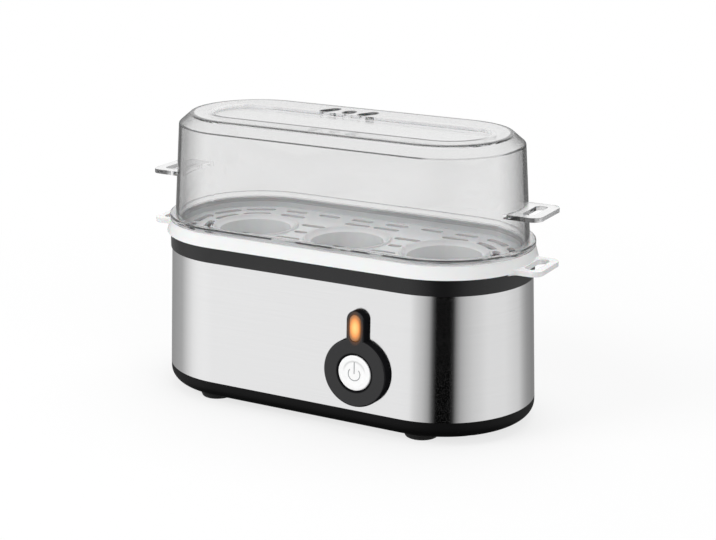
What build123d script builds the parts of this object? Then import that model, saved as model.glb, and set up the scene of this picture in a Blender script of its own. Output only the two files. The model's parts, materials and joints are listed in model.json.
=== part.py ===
from build123d import *
from math import atan2, cos, degrees, radians, sin
import os

# Steam egg cooker for three eggs.
# Millimetres, +Z up, origin on the floor under the middle of the body. X runs along the body, and the
# control panel faces -Y. Every horizontal outline is a racetrack: two straight sides joined by half
# circles, whose centres stay half_span from the middle while the end radius changes with height.

# ---------------------------------------------------------------- driving dimensions
half_span = 53.6

# Levels, from the floor up
base_bottom = 3.0
base_shoulder = 11.85
sleeve_top = 74.1
collar_top = 82.4
ring_top = 89.0
flange_top = 91.5
lid_shoulder = 138.2
lid_top = 143.35

# End radius of the outer outline at those levels
base_radius = 46.35
sleeve_top_radius = 44.2
collar_radius = 44.8
ring_foot_radius = 46.5
ring_top_radius = 44.7
flange_radius = 45.0
lid_foot_radius = 42.0
lid_shoulder_radius = 39.0
lid_top_radius = 33.0

# Walls
base_wall = 2.4
sleeve_wall = 0.6
lid_wall = 2.0
fit_gap = 0.1

# Egg cups: a raised lip that funnels down to a round seat, and a sleeve that reaches down into the water
cup_count = 3
cup_pitch = 54.4
cup_lip_radius = 21.6
cup_lip_top = 84.1
cup_seat_radius = 18.5
cup_seat_height = 81.9
cup_foot_radius = 17.8
cup_foot_height = 73.2
cup_wall = 1.4

# Front control panel, on the leaning front of the sleeve
panel_x = 31.1
panel_z = 31.9
disk_radius = 17.0
tab_width = 9.8
tab_top = 30.9
panel_depth = 3.6
button_radius = 8.85
button_travel = 2.5

os.makedirs("parts", exist_ok=True)


# ---------------------------------------------------------------- shared helpers
def racetrack(height, end_radius):
    """Racetrack outline at a height."""
    with BuildSketch(Plane.XY.offset(height)) as outline:
        SlotCenterToCenter(2 * half_span, 2 * end_radius)
    return outline.sketch


def racetrack_wall(low, high, mode=Mode.ADD):
    """Block between two (height, end radius) levels whose side leans evenly from one to the other."""
    rise = high[0] - low[0]
    lean = degrees(atan2(low[1] - high[1], rise))
    extrude(racetrack(*low), amount=rise, taper=lean, mode=mode)


def disks(points, radius, height, rise, mode=Mode.ADD):
    """Upright round columns, holes or heads at several places."""
    with BuildSketch(Plane.XY.offset(height)) as spots:
        with Locations(*points):
            Circle(radius)
    extrude(spots.sketch, amount=rise, mode=mode)


def save(piece, name):
    """Label one finished piece and write it under the name of its node."""
    piece.part.label = name
    export_step(piece.part, f"parts/{name}.step")


def corners(x, y):
    """The four mirrored places of one point."""
    return [(x, y), (-x, y), (-x, -y), (x, -y)]


sleeve_rise = sleeve_top - base_shoulder
sleeve_lean = atan2(base_radius - sleeve_top_radius, sleeve_rise)


def sleeve_radius(height):
    """End radius of the sleeve's outside at a height."""
    return base_radius - (height - base_shoulder) * (base_radius - sleeve_top_radius) / sleeve_rise


# The control panel's plane lies on the sleeve: sketch X is the body's X and sketch Y climbs the steel.
panel_plane = Plane(
    origin=(panel_x, -sleeve_radius(panel_z), panel_z),
    x_dir=(1, 0, 0),
    z_dir=(0, -cos(sleeve_lean), sin(sleeve_lean)),
)
panel_axis = Axis(panel_plane.origin, panel_plane.z_dir)


def keyhole(offset_out, inset=0.0):
    """Disk with a round-topped tab, drawn offset_out in front of the steel and inset all round."""
    half_tab = tab_width / 2 - inset
    with BuildSketch(panel_plane.offset(offset_out)) as outline:
        Circle(disk_radius - inset)
        with Locations((0, (tab_top - inset - half_tab) / 2)):
            Rectangle(2 * half_tab, tab_top - inset - half_tab)
        with Locations((0, tab_top - inset - half_tab)):
            Circle(half_tab)
    return outline.sketch


def panel_disks(points, radius, offset_out, depth, mode=Mode.ADD):
    """Round studs or holes square to the panel, starting offset_out in front of the steel."""
    with BuildSketch(panel_plane.offset(offset_out)) as spots:
        with Locations(*points):
            Circle(radius)
    extrude(spots.sketch, amount=depth, mode=mode)


# ---------------------------------------------------------------- base shell
# Black moulded tray: rounded foot line, a spigot that stands inside the sleeve, screw pillars, floor
# vents, and a tongue at the back that rises through a notch in the sleeve and carries the cord bush.
floor_top = base_bottom + base_wall
spigot_top = 15.6
spigot_radius = base_radius - sleeve_wall - 0.35
pillar_top = 16.0
pillar_row = 39.9
pillar_places = corners(half_span + pillar_row * cos(radians(45)), pillar_row * sin(radians(45)))
foot_places = corners(59.0, 32.0)
foot_line_radius = 6.2
foot_radius = 8.0
tongue_width = 20.0
tongue_top = 26.0
tongue_root = 7.0
tongue_corner = 3.5
tongue_face = base_radius
shell_inside_radius = 43.4
tongue_gauge = tongue_face - shell_inside_radius
cord_height = 17.0
bush_seat_radius = 5.0
pillar_radius = 4.6
screw_well_radius = 3.5
screw_well_depth = 6.0
foot_plug_radius = 5.9
foot_plug_height = 1.0

with BuildPart() as base_shell:
    racetrack_wall((base_bottom, base_radius), (base_shoulder, base_radius))
    foot_line = base_shell.edges().group_by(Axis.Z)[0]
    fillet(foot_line, radius=foot_line_radius)
    racetrack_wall((base_shoulder, spigot_radius), (spigot_top, spigot_radius))
    hollow_heel = (floor_top + 2.0, shell_inside_radius)
    racetrack_wall((floor_top, shell_inside_radius - 0.8), hollow_heel, mode=Mode.SUBTRACT)
    racetrack_wall(hollow_heel, (spigot_top, shell_inside_radius), mode=Mode.SUBTRACT)
    with BuildSketch(Plane.XZ.offset(-tongue_face)) as tongue:
        with Locations((0, (tongue_root + tongue_top) / 2)):
            Rectangle(tongue_width, tongue_top - tongue_root)
        tongue_top_corners = tongue.vertices().group_by(Axis.Y)[-1]
        fillet(tongue_top_corners, radius=tongue_corner)
    extrude(tongue.sketch, amount=tongue_gauge)
    disks(pillar_places, pillar_radius, floor_top, pillar_top - floor_top)
    disks(pillar_places, screw_well_radius, base_bottom, screw_well_depth, mode=Mode.SUBTRACT)
    disks(pillar_places, 1.75, base_bottom, pillar_top, mode=Mode.SUBTRACT)
    disks(foot_places, foot_plug_radius + fit_gap, base_bottom, foot_plug_height, mode=Mode.SUBTRACT)
    with BuildSketch(Plane.XY.offset(base_bottom)) as floor_vents:
        with GridLocations(10.0, 30.0, 7, 2):
            SlotOverall(18.0, 3.0, rotation=90)
    extrude(floor_vents.sketch, amount=base_wall, mode=Mode.SUBTRACT)
    with BuildSketch(Plane.XZ.offset(-tongue_face)) as cord_hole:
        with Locations((0, cord_height)):
            Circle(bush_seat_radius)
    extrude(cord_hole.sketch, amount=6.0, both=True, mode=Mode.SUBTRACT)
save(base_shell, "base_shell")

with BuildPart() as rubber_feet:
    with BuildSketch() as foot_soles:
        with Locations(*foot_places):
            Circle(foot_radius)
    extrude(foot_soles.sketch, amount=base_bottom, taper=-22)
    sole_rims = rubber_feet.edges().group_by(Axis.Z)[0]
    fillet(sole_rims, radius=0.8)
    disks(foot_places, foot_plug_radius, base_bottom, foot_plug_height)
save(rubber_feet, "rubber_feet")

# Long screws from below, their heads at the top of the wells.
head_top = base_bottom + screw_well_depth
head_height = 2.4

with BuildPart() as base_screws:
    disks(pillar_places, 3.1, head_top - head_height, head_height)
    disks(pillar_places, 1.5, head_top, 22.0)
    disks(pillar_places, 1.3, head_top - head_height, head_height / 2, mode=Mode.SUBTRACT)
save(base_screws, "base_screws")

# Rubber bush in the tongue: a flange on each side of the wall and a straight bore for the cord.
bush_bore_radius = 3.3
bush_nose = 3.4
bush_tail = tongue_gauge + 1.6
bush_nose_radius = 4.6
bush_flange_radius = 6.6
bush_tail_radius = 6.2

with BuildPart() as cord_bush:
    with BuildSketch(Plane.YZ) as bush_section:
        with BuildLine():
            Polyline(
                (tongue_face + bush_nose, cord_height + bush_bore_radius),
                (tongue_face + bush_nose, cord_height + bush_nose_radius),
                (tongue_face + 1.4, cord_height + bush_flange_radius),
                (tongue_face, cord_height + bush_flange_radius),
                (tongue_face, cord_height + bush_seat_radius - fit_gap),
                (tongue_face - tongue_gauge, cord_height + bush_seat_radius - fit_gap),
                (tongue_face - tongue_gauge, cord_height + bush_tail_radius),
                (tongue_face - bush_tail, cord_height + bush_tail_radius),
                (tongue_face - bush_tail, cord_height + bush_bore_radius),
                close=True,
            )
        make_face()
    revolve(bush_section.sketch, axis=Axis((0, 0, cord_height), (0, 1, 0)))
save(cord_bush, "cord_bush")

# ---------------------------------------------------------------- steel sleeve
# Thin stainless wrap with a keyhole cut-out behind the panel and a notch round the cord tongue.
cut_out_inset = 1.7

with BuildPart() as steel_sleeve:
    racetrack_wall((base_shoulder, base_radius), (sleeve_top, sleeve_top_radius))
    racetrack_wall(
        (base_shoulder, base_radius - sleeve_wall),
        (sleeve_top, sleeve_top_radius - sleeve_wall),
        mode=Mode.SUBTRACT,
    )
    extrude(keyhole(0, cut_out_inset), amount=4.0, both=True, mode=Mode.SUBTRACT)
    with BuildSketch(Plane.XZ.offset(-tongue_face - 1)) as tongue_notch:
        with Locations((0, (base_shoulder + tongue_top) / 2)):
            notch_width = tongue_width + 2 * fit_gap
            notch_height = tongue_top - base_shoulder + 2 * fit_gap
            Rectangle(notch_width, notch_height)
        notch_top_corners = tongue_notch.vertices().group_by(Axis.Y)[-1]
        fillet(notch_top_corners, radius=tongue_corner)
    extrude(tongue_notch.sketch, amount=6.0, mode=Mode.SUBTRACT)
save(steel_sleeve, "steel_sleeve")

# ---------------------------------------------------------------- top collar
# Black collar on top of the steel. A spigot stands in the sleeve, an inner ledge carries the pan and its
# seal, and four posts reach down to the base's pillars for the long screws.
ledge_bottom = 76.5
ledge_top = 78.2
ledge_radius = 37.2
spigot_foot = 66.0
collar_mouth_radius = 42.3
collar_spigot_radius = 43.5
collar_spigot_inside = 41.8
post_radius = 3.2

with BuildPart() as top_collar:
    racetrack_wall((sleeve_top, collar_radius), (collar_top, collar_radius))
    collar_rim = top_collar.edges().group_by(Axis.Z)[-1]
    fillet(collar_rim, radius=0.6)
    racetrack_wall((spigot_foot, collar_spigot_radius), (sleeve_top, collar_spigot_radius))
    spigot_well = (spigot_foot, collar_spigot_inside)
    racetrack_wall(spigot_well, (ledge_bottom, collar_spigot_inside), mode=Mode.SUBTRACT)
    racetrack_wall((ledge_bottom, ledge_radius), (ledge_top, ledge_radius), mode=Mode.SUBTRACT)
    racetrack_wall((ledge_top, collar_mouth_radius), (collar_top, collar_mouth_radius), mode=Mode.SUBTRACT)
    disks(pillar_places, post_radius, pillar_top, ledge_bottom - pillar_top)
    disks(pillar_places, 1.55, pillar_top, 18.0, mode=Mode.SUBTRACT)
save(top_collar, "top_collar")

# ---------------------------------------------------------------- water pan and its fixings
seal_top = 79.0
pan_wall = 0.8
pan_rim_radius = 41.6
pan_mouth_radius = 36.6
pan_floor_radius = 35.0
pan_bottom = 70.2
pan_heel_radius = 3.0
seal_outer_radius = 41.4
seal_inner_radius = 37.8
stud_places = [(-38.0, 0), (38.0, 0)]
stud_foot = 54.0
bar_level = 58.5

with BuildPart() as pan_seal:
    racetrack_wall((ledge_top, seal_outer_radius), (seal_top, seal_outer_radius))
    racetrack_wall((ledge_top, seal_inner_radius), (seal_top, seal_inner_radius), mode=Mode.SUBTRACT)
save(pan_seal, "pan_seal")

with BuildPart() as water_pan:
    racetrack_wall((pan_bottom, pan_floor_radius), (seal_top, pan_mouth_radius))
    pan_heel = water_pan.edges().group_by(Axis.Z)[0]
    fillet(pan_heel, radius=pan_heel_radius)
    racetrack_wall((seal_top, pan_rim_radius), (seal_top + pan_wall, pan_rim_radius))
    with BuildSketch(Plane.XY.offset(seal_top + pan_wall)) as pan_mouth:
        SlotCenterToCenter(2 * half_span, 2 * (pan_mouth_radius - pan_wall))
    well_depth = seal_top - pan_bottom
    well_lean = degrees(atan2(pan_mouth_radius - pan_floor_radius, well_depth))
    extrude(pan_mouth.sketch, amount=-well_depth, taper=well_lean, mode=Mode.SUBTRACT)
    well_heel = water_pan.faces().filter_by(Axis.Z).group_by(Axis.Z)[1].edges()
    fillet(well_heel, radius=pan_heel_radius - pan_wall)
    disks(stud_places, 2.0, stud_foot, pan_bottom - stud_foot)
save(water_pan, "water_pan")

# Bars span the pan's underside, turn up beside it and hook under the collar's ledge.
bar_width = 10.0
bar_gauge = 1.2
bar_leg = 38.4
bar_toe = 41.2

with BuildPart() as clamp_bars:
    with BuildSketch(Plane.YZ) as bar_section:
        with BuildLine():
            Polyline(
                (-bar_toe, ledge_bottom),
                (-bar_toe, ledge_bottom - bar_gauge),
                (-bar_leg, ledge_bottom - bar_gauge),
                (-bar_leg, bar_level),
                (bar_leg, bar_level),
                (bar_leg, ledge_bottom - bar_gauge),
                (bar_toe, ledge_bottom - bar_gauge),
                (bar_toe, ledge_bottom),
                (bar_leg - bar_gauge, ledge_bottom),
                (bar_leg - bar_gauge, bar_level + bar_gauge),
                (bar_gauge - bar_leg, bar_level + bar_gauge),
                (bar_gauge - bar_leg, ledge_bottom),
                close=True,
            )
        make_face()
    for place in stud_places:
        extrude(bar_section.sketch.moved(Location((place[0], 0, 0))), amount=bar_width / 2, both=True)
    disks(stud_places, 2.2, bar_level, bar_gauge, mode=Mode.SUBTRACT)
save(clamp_bars, "clamp_bars")

nut_height = 3.2

with BuildPart() as pan_nuts:
    with BuildSketch(Plane.XY.offset(bar_level - nut_height)) as nut_outline:
        with Locations(*stud_places):
            RegularPolygon(3.5, 6, major_radius=False)
        with Locations(*stud_places):
            Circle(2.05, mode=Mode.SUBTRACT)
    extrude(nut_outline.sketch, amount=nut_height)
save(pan_nuts, "pan_nuts")

# Earth ring tag under the left nut, with a crimp barrel for its wire.
tag_gauge = 0.8
tag_bottom = bar_level - nut_height - tag_gauge
barrel_level = tag_bottom - 1.2
barrel_start = 12.0
barrel_length = 7.0

with BuildPart() as earth_tag:
    with BuildSketch(Plane.XY.offset(tag_bottom)) as tag_outline:
        with Locations(stud_places[0]):
            Circle(4.0)
        with Locations((stud_places[0][0], 7.0)):
            Rectangle(4.0, 10.0)
        with Locations(stud_places[0]):
            Circle(2.1, mode=Mode.SUBTRACT)
    extrude(tag_outline.sketch, amount=tag_gauge)
    with BuildSketch(Plane.XZ.offset(-barrel_start)) as barrel:
        with Locations((stud_places[0][0], barrel_level)):
            Circle(1.8)
    extrude(barrel.sketch, amount=-barrel_length)
save(earth_tag, "earth_tag")

# ---------------------------------------------------------------- heater
spreader_gauge = 1.5
spreader_bottom = pan_bottom - spreader_gauge
tube_radius = 3.25
tube_level = spreader_bottom - tube_radius
tube_row = 22.0
tube_gap = 11.0
tube_foot = 50.0
pin_length = 9.0
bush_length = 4.0
boss_places = [(-13.0, 0), (13.0, 0)]
boss_height = 3.5

with BuildPart() as heat_spreader:
    racetrack_wall((spreader_bottom, 30.0), (pan_bottom, 30.0))
    disks(stud_places, 2.4, spreader_bottom, spreader_gauge, mode=Mode.SUBTRACT)
    disks(boss_places, 3.0, spreader_bottom - boss_height, boss_height)
    disks(boss_places, 1.3, spreader_bottom - boss_height, boss_height, mode=Mode.SUBTRACT)
save(heat_spreader, "heat_spreader")

# One open loop of tube under the spreader; both ends turn down at the back.
with BuildPart() as heating_tube:
    loop_end = half_span + tube_row
    with BuildLine() as tube_path:
        FilletPolyline(
            (-tube_gap, tube_row, tube_foot),
            (-tube_gap, tube_row, tube_level),
            (-loop_end, tube_row, tube_level),
            (-loop_end, -tube_row, tube_level),
            (loop_end, -tube_row, tube_level),
            (loop_end, tube_row, tube_level),
            (tube_gap, tube_row, tube_level),
            (tube_gap, tube_row, tube_foot),
            radius=[8, 20, 20, 20, 20, 8],
        )
    with BuildSketch(Plane((-tube_gap, tube_row, tube_foot))):
        Circle(tube_radius)
    sweep(path=tube_path.line)
    tube_ends = [(-tube_gap, tube_row), (tube_gap, tube_row)]
    disks(tube_ends, 1.1, tube_foot - pin_length, pin_length)
save(heating_tube, "heating_tube")

with BuildPart() as heater_bushes:
    disks(tube_ends, 2.9, tube_foot - bush_length, bush_length)
    disks(tube_ends, 1.15, tube_foot - bush_length, bush_length, mode=Mode.SUBTRACT)
save(heater_bushes, "heater_bushes")

# Bimetal cut-out, its cap flat on the spreader, with two blades below.
cut_out_height = 11.0
cut_out_radius = 7.2
cut_out_blade = 7.5
cut_out_step = 4.0
plate_gauge = 1.0

with BuildPart() as thermostat:
    disks([(0, 0)], cut_out_radius + 1.1, spreader_bottom - boss_height, boss_height)
    disks([(0, 0)], cut_out_radius, spreader_bottom - cut_out_height, cut_out_height - boss_height)
    blade_foot = spreader_bottom - cut_out_height - cut_out_blade
    with BuildSketch(Plane.XY.offset(blade_foot)) as thermostat_blades:
        with Locations((-cut_out_step, 0), (cut_out_step, 0)):
            Rectangle(0.8, 6.3)
    extrude(thermostat_blades.sketch, amount=cut_out_blade)
save(thermostat, "thermostat")

plate_level = spreader_bottom - boss_height - plate_gauge

with BuildPart() as thermostat_plate:
    with BuildSketch(Plane.XY.offset(plate_level)) as plate_outline:
        SlotCenterToCenter(26.0, 9.0)
        Circle(10.0)
        Circle(cut_out_radius + fit_gap, mode=Mode.SUBTRACT)
        with Locations(*boss_places):
            Circle(1.4, mode=Mode.SUBTRACT)
    extrude(plate_outline.sketch, amount=plate_gauge)
save(thermostat_plate, "thermostat_plate")

with BuildPart() as thermostat_screws:
    disks(boss_places, 2.5, plate_level - 1.8, 1.8)
    disks(boss_places, 1.25, plate_level, 4.0)
save(thermostat_screws, "thermostat_screws")

# One-shot fuse beside the thermostat, in a saddle screwed through the spreader's underside.
fuse_row = -14.6
fuse_radius = 2.0
fuse_level = spreader_bottom - fuse_radius
fuse_lead = 13.0
clip_bore = fuse_radius + 0.05
clip_width = 4.0

with BuildPart() as thermal_fuse:
    with BuildSketch(Plane.YZ) as fuse_section:
        with Locations((fuse_row, fuse_level)):
            Circle(fuse_radius)
    extrude(fuse_section.sketch, amount=6.0, both=True)
    with BuildSketch(Plane.YZ) as lead_section:
        with Locations((fuse_row, fuse_level)):
            Circle(0.5)
    extrude(lead_section.sketch, amount=fuse_lead, both=True)
save(thermal_fuse, "thermal_fuse")

with BuildPart() as fuse_clip:
    with BuildSketch(Plane.YZ) as clip_section:
        with Locations((fuse_row, fuse_level)):
            Circle(fuse_radius + 0.8)
        with Locations((fuse_row, spreader_bottom - 1.4)):
            Rectangle(5.6, 2.8)
        with Locations((fuse_row, spreader_bottom - 0.4)):
            Rectangle(9.6, 0.8)
        with Locations((fuse_row, spreader_bottom + 1.0)):
            Rectangle(20.0, 2.0, mode=Mode.SUBTRACT)
        with Locations((fuse_row, fuse_level)):
            Circle(clip_bore, mode=Mode.SUBTRACT)
        with Locations((fuse_row, spreader_bottom - fuse_radius / 2)):
            Rectangle(2 * clip_bore, fuse_radius, mode=Mode.SUBTRACT)
    extrude(clip_section.sketch, amount=clip_width / 2, both=True)
save(fuse_clip, "fuse_clip")

# ---------------------------------------------------------------- supply terminals
block_centre = (-24.0, 18.0)
block_size = (30.0, 14.0, 11.0)
block_bottom = floor_top
way_step = 9.5
way_height = 3.5
screw_floor = 5.0
way_places = [(block_centre[0] + step, block_centre[1]) for step in (-way_step, 0, way_step)]
groove_places = [(block_centre[0] + step, block_centre[1]) for step in (-way_step / 2, way_step / 2)]

with BuildPart() as terminal_block:
    with BuildSketch(Plane.XY.offset(block_bottom)):
        with Locations(block_centre):
            Rectangle(block_size[0], block_size[1])
    extrude(amount=block_size[2])
    block_edges = terminal_block.edges().filter_by(Axis.Z)
    chamfer(block_edges, length=1.0)
    with BuildSketch(Plane.XY.offset(block_bottom + block_size[2])) as groove_outline:
        with Locations(*groove_places):
            Rectangle(1.2, block_size[1])
    extrude(groove_outline.sketch, amount=-4.0, mode=Mode.SUBTRACT)
    screw_well = block_size[2] - screw_floor
    disks(way_places, 2.3, block_bottom + screw_floor, screw_well, mode=Mode.SUBTRACT)
    with BuildSketch(Plane.XZ.offset(-block_centre[1])) as wire_ways:
        with Locations(*[(x, block_bottom + way_height) for x, y in way_places]):
            Circle(1.5)
    extrude(wire_ways.sketch, amount=block_size[1], both=True, mode=Mode.SUBTRACT)
save(terminal_block, "terminal_block")

with BuildPart() as terminal_screws:
    disks(way_places, 2.25, block_bottom + screw_floor, 3.0)
save(terminal_screws, "terminal_screws")

# ---------------------------------------------------------------- control panel
guide_radius = button_radius + 0.3
guide_foot = -3.6
rear_rim_depth = 5.0
post_circle = 12.9
post_places = [
    (post_circle * cos(radians(turn)), post_circle * sin(radians(turn))) for turn in (200, 340)
]
bracket_face = -13.0
bracket_gauge = 1.5
lens_width = 6.2
lens_length = 13.4
lens_middle = 22.3
lens_flange_gauge = 1.4
lens_flange_width = lens_width + 1.8
lens_flange_length = lens_length + 2.0

with BuildPart() as control_bezel:
    extrude(keyhole(0), amount=panel_depth)
    front_rim = control_bezel.faces().sort_by(panel_axis)[-1].edges()
    fillet(front_rim, radius=0.9)
    rear_rim_radius = disk_radius - cut_out_inset - fit_gap
    rear_rim_inside = rear_rim_radius - 1.3
    panel_disks([(0, 0)], rear_rim_radius, -rear_rim_depth, rear_rim_depth)
    panel_disks([(0, 0)], rear_rim_inside, -rear_rim_depth, rear_rim_depth, mode=Mode.SUBTRACT)
    panel_disks([(0, 0)], guide_radius + 1.3, guide_foot, -guide_foot)
    panel_disks(post_places, 2.3, bracket_face, -bracket_face)
    panel_disks(post_places, 1.3, bracket_face, 8.0, mode=Mode.SUBTRACT)
    panel_disks([(0, 0)], guide_radius, guide_foot - 1, panel_depth - guide_foot + 2, mode=Mode.SUBTRACT)
    with BuildSketch(panel_plane) as lens_pocket:
        with Locations((0, lens_middle)):
            SlotOverall(lens_flange_length + fit_gap, lens_flange_width + fit_gap, rotation=90)
    extrude(lens_pocket.sketch, amount=lens_flange_gauge, mode=Mode.SUBTRACT)
    with BuildSketch(panel_plane) as lens_window:
        with Locations((0, lens_middle)):
            SlotOverall(lens_length + fit_gap, lens_width + fit_gap, rotation=90)
    extrude(lens_window.sketch, amount=panel_depth, mode=Mode.SUBTRACT)
save(control_bezel, "control_bezel")

with BuildPart() as indicator_lens:
    with BuildSketch(panel_plane.offset(0.3)) as lens_flange:
        with Locations((0, lens_middle)):
            SlotOverall(lens_flange_length, lens_flange_width, rotation=90)
    extrude(lens_flange.sketch, amount=lens_flange_gauge - 0.3)
    with BuildSketch(panel_plane.offset(lens_flange_gauge)) as lens_body:
        with Locations((0, lens_middle)):
            SlotOverall(lens_length, lens_width, rotation=90)
    extrude(lens_body.sketch, amount=panel_depth + 0.3 - lens_flange_gauge)
    lens_rim = indicator_lens.faces().sort_by(panel_axis)[-1].edges()
    fillet(lens_rim, radius=0.8)
save(indicator_lens, "indicator_lens")

# Push button: a hollow cap that slides in the bezel's guide, kept in by a lip behind the guide, with a
# stem that meets the switch plunger.
cap_foot = -5.0
lip_front = guide_foot - 0.2
stem_radius = 2.5
stem_foot = bracket_face + button_travel + 0.3
cap_front = 1.6
cap_wall = 1.5

with BuildPart() as power_button:
    panel_disks([(0, 0)], button_radius, cap_foot, panel_depth - cap_foot)
    cap_rim = power_button.faces().sort_by(panel_axis)[-1].edges()
    fillet(cap_rim, radius=0.7)
    panel_disks([(0, 0)], button_radius + 0.9, cap_foot, lip_front - cap_foot)
    cap_depth = panel_depth - cap_front - cap_foot
    panel_disks([(0, 0)], button_radius - cap_wall, cap_foot, cap_depth, mode=Mode.SUBTRACT)
    panel_disks([(0, 0)], stem_radius, stem_foot, panel_depth - cap_front / 2 - stem_foot)
save(power_button, "power_button")

spring_coil_radius = 4.3
spring_wire_radius = 0.35
spring_turns = 4
spring_back = bracket_face + spring_wire_radius
spring_length = panel_depth - cap_front - spring_wire_radius - spring_back

with BuildPart() as button_spring:
    with BuildLine() as coil:
        Helix(
            pitch=spring_length / spring_turns,
            height=spring_length,
            radius=spring_coil_radius,
            center=panel_plane.offset(spring_back).origin,
            direction=panel_plane.z_dir,
        )
    with BuildSketch(Plane(coil.line @ 0, z_dir=coil.line % 0)):
        Circle(spring_wire_radius)
    sweep(path=coil.line, is_frenet=True)
save(button_spring, "button_spring")

# Bracket behind the bezel, with the latching switch on its back.
plunger_radius = 1.9
switch_size = 13.0
switch_depth = 14.0
blade_length = 6.5
blade_step = 4.0
blade_rise = 3.0

with BuildPart() as switch_bracket:
    with BuildSketch(panel_plane.offset(bracket_face - bracket_gauge)) as bracket_outline:
        SlotCenterToCenter(24.0, 11.0)
        with Locations((0, 13.0)):
            Rectangle(9.0, 28.0)
        Circle(stem_radius + 0.4, mode=Mode.SUBTRACT)
        with Locations(*post_places):
            Circle(3.2)
        with Locations(*post_places):
            Circle(1.4, mode=Mode.SUBTRACT)
    extrude(bracket_outline.sketch, amount=bracket_gauge)
save(switch_bracket, "switch_bracket")

with BuildPart() as bracket_screws:
    panel_disks(post_places, 2.4, bracket_face - bracket_gauge - 1.8, 1.8)
    panel_disks(post_places, 1.25, bracket_face - bracket_gauge, 7.0)
save(bracket_screws, "bracket_screws")

switch_front = bracket_face - bracket_gauge
with BuildPart() as switch_body:
    with BuildSketch(panel_plane.offset(switch_front - switch_depth)) as switch_outline:
        RectangleRounded(switch_size, switch_size, 0.8)
    extrude(switch_outline.sketch, amount=switch_depth)
    panel_disks([(0, 0)], plunger_radius + 0.4, switch_front - 9.0, 9.0, mode=Mode.SUBTRACT)
    with BuildSketch(panel_plane.offset(switch_front - switch_depth - blade_length)) as switch_blades:
        with GridLocations(2 * blade_step, 2 * blade_rise, 2, 2):
            Rectangle(0.8, 4.0)
    extrude(switch_blades.sketch, amount=blade_length)
save(switch_body, "switch_body")

plunger_foot = switch_front - 5.5
with BuildPart() as switch_plunger:
    panel_disks([(0, 0)], plunger_radius, plunger_foot, stem_foot - plunger_foot)
save(switch_plunger, "switch_plunger")

# Neon lamp upright behind the lens, in a cradle on the bracket.
lamp_radius = 2.3
lamp_offset = -3.4
lamp_length = 12.0

with BuildPart() as neon_lamp:
    lamp_base = panel_plane.offset(lamp_offset)
    lamp_start = lamp_base.from_local_coords((0, lens_middle - lamp_length / 2, 0))
    with BuildSketch(Plane(lamp_start, x_dir=(1, 0, 0), z_dir=lamp_base.y_dir)) as lamp_section:
        Circle(lamp_radius)
    extrude(lamp_section.sketch, amount=lamp_length)
    lamp_tip = neon_lamp.edges().sort_by(Axis.Z)[-1]
    fillet(lamp_tip, radius=1.8)
save(neon_lamp, "neon_lamp")

with BuildPart() as lamp_holder:
    with BuildSketch(panel_plane.offset(bracket_face)) as holder_outline:
        with Locations((0, lens_middle)):
            Rectangle(6.4, 7.0)
    extrude(holder_outline.sketch, amount=lamp_offset - bracket_face)
    with BuildSketch(Plane(lamp_start, x_dir=(1, 0, 0), z_dir=lamp_base.y_dir)) as lamp_groove:
        Circle(lamp_radius)
    extrude(lamp_groove.sketch, amount=lamp_length, mode=Mode.SUBTRACT)
save(lamp_holder, "lamp_holder")

# ---------------------------------------------------------------- internal wires
# Mains runs from the terminal block through the switch, the cut-out and the fuse to one end of the
# heater, and back from its other end. Earth goes to the tag under the pan.
wire_radius = 1.2
wire_gap = 0.2
way_level = block_bottom + way_height
way_end = block_centre[1] - 4.0
wire_lane = 2.0


def wire(name, points, radii):
    """Insulated wire of straight runs joined by arcs, saved under its name."""
    with BuildPart() as piece:
        with BuildLine() as route:
            FilletPolyline(*points, radius=radii)
        with BuildSketch(Plane(route.line @ 0, z_dir=route.line % 0)):
            Circle(wire_radius)
        sweep(path=route.line)
    save(piece, name)


earth_x, neutral_x, live_x = [x for x, y in way_places]
blade_ends = panel_plane.offset(switch_front - switch_depth - blade_length - wire_gap)
supply_blade = blade_ends.from_local_coords((-blade_step, -blade_rise, 0))
load_blade = blade_ends.from_local_coords((blade_step, blade_rise, 0))

wire(
    "live_wire",
    [
        (live_x, way_end, way_level),
        (live_x, wire_lane, way_level),
        (supply_blade.X, wire_lane, way_level),
        (supply_blade.X, wire_lane, supply_blade.Z),
        (supply_blade.X, supply_blade.Y, supply_blade.Z),
    ],
    [5, 6, 5],
)

cut_out_foot = blade_foot - wire_gap
wire(
    "switched_wire",
    [
        (load_blade.X, load_blade.Y, load_blade.Z),
        (load_blade.X, 0, load_blade.Z),
        (cut_out_step, 0, load_blade.Z),
        (cut_out_step, 0, cut_out_foot),
    ],
    [5, 6],
)

fuse_lead_end = fuse_lead + wire_gap
fuse_wire_x = 21.0
wire_drop = 9.0
wire(
    "fuse_wire",
    [
        (-cut_out_step, 0, cut_out_foot),
        (-cut_out_step, 0, cut_out_foot - wire_drop),
        (-fuse_wire_x, fuse_row, cut_out_foot - wire_drop),
        (-fuse_wire_x, fuse_row, fuse_level),
        (-fuse_lead_end, fuse_row, fuse_level),
    ],
    [4, 6, 4],
)

pin_foot = tube_foot - pin_length - wire_gap
wire(
    "heater_wire",
    [
        (fuse_lead_end, fuse_row, fuse_level),
        (fuse_wire_x, fuse_row, fuse_level),
        (fuse_wire_x, fuse_row, pin_foot - 2 * wire_drop),
        (tube_gap, tube_row, pin_foot - 2 * wire_drop),
        (tube_gap, tube_row, pin_foot),
    ],
    [4, 6, 4],
)
wire(
    "neutral_wire",
    [
        (neutral_x, way_end, way_level),
        (neutral_x, wire_lane, way_level),
        (neutral_x, wire_lane, pin_foot - wire_drop),
        (-tube_gap, tube_row, pin_foot - wire_drop),
        (-tube_gap, tube_row, pin_foot),
    ],
    [5, 6, 4],
)

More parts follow.
